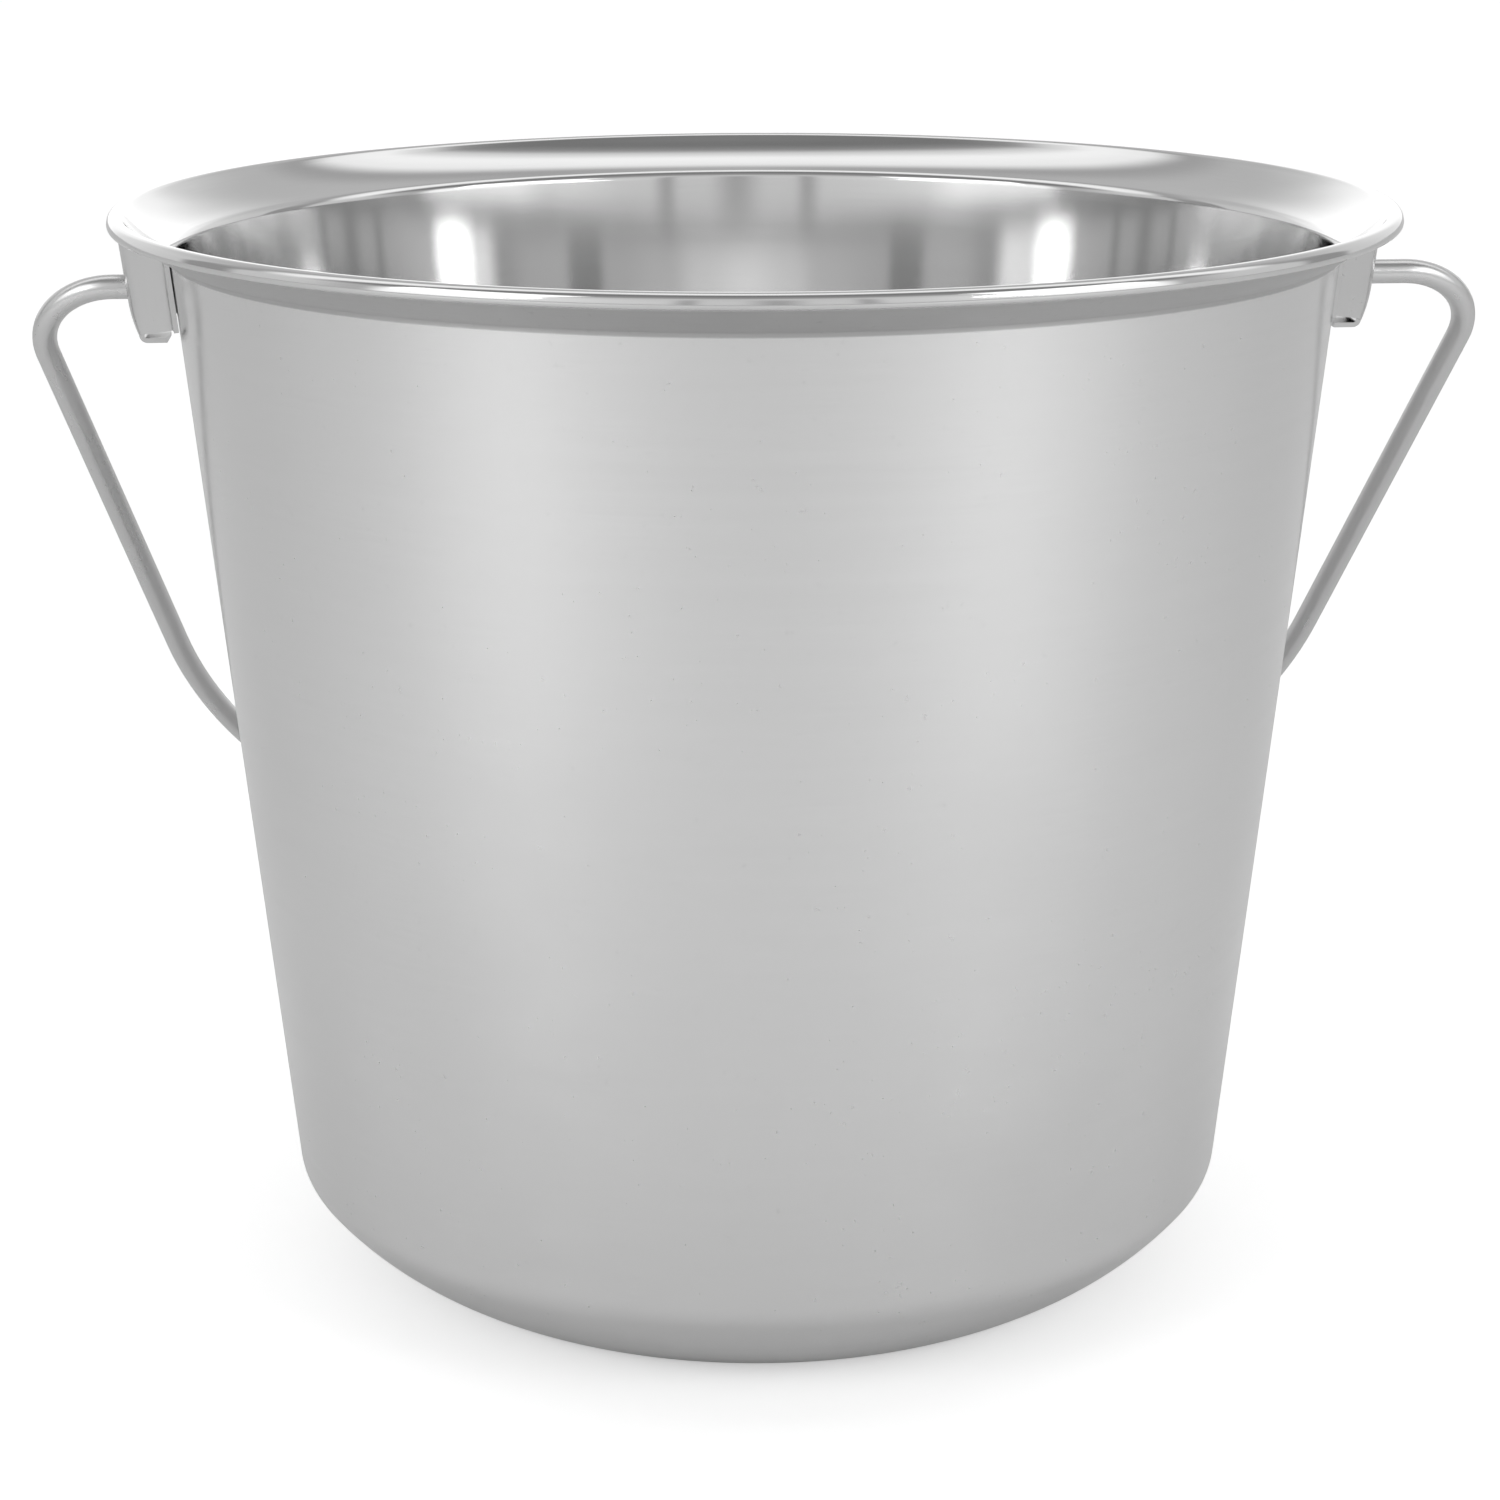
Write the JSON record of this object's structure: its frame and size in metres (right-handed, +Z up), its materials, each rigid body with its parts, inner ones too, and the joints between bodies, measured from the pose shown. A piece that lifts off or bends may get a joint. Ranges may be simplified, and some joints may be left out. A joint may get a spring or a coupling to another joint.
{
  "type": "milk pail",
  "caption": "Round tapered metal pail with a flared, hemmed rim, pressed ears under the rim and a bent wire bail handle that swings over the top.",
  "frame": {"origin": "middle of the pail's bottom, on the plane it stands on", "axes": "+Z up along the pail's axis, +X through the right ear along the bail's hinge axis, +Y to the side where the bail hangs"},
  "size_m": [0.3572, 0.31, 0.267],
  "materials": {
    "shell": "polished with a fine turned grain",
    "ear": "polished, with soft pressing marks",
    "wire": "satin, drawn along the wire"
  },
  "bodies": {
    "pail": {"pail_shell": "shell", "ear_left": "ear", "ear_right": "ear"},
    "bail": {"bail": "wire"}
  },
  "joints": [
    {"name": "bail_swing", "type": "hinge", "parent": "pail", "child": "bail", "pos_m": [0, 0, 0.24756], "axis": [1, 0, 0], "range_deg": [0, 291.5]}
  ]
}
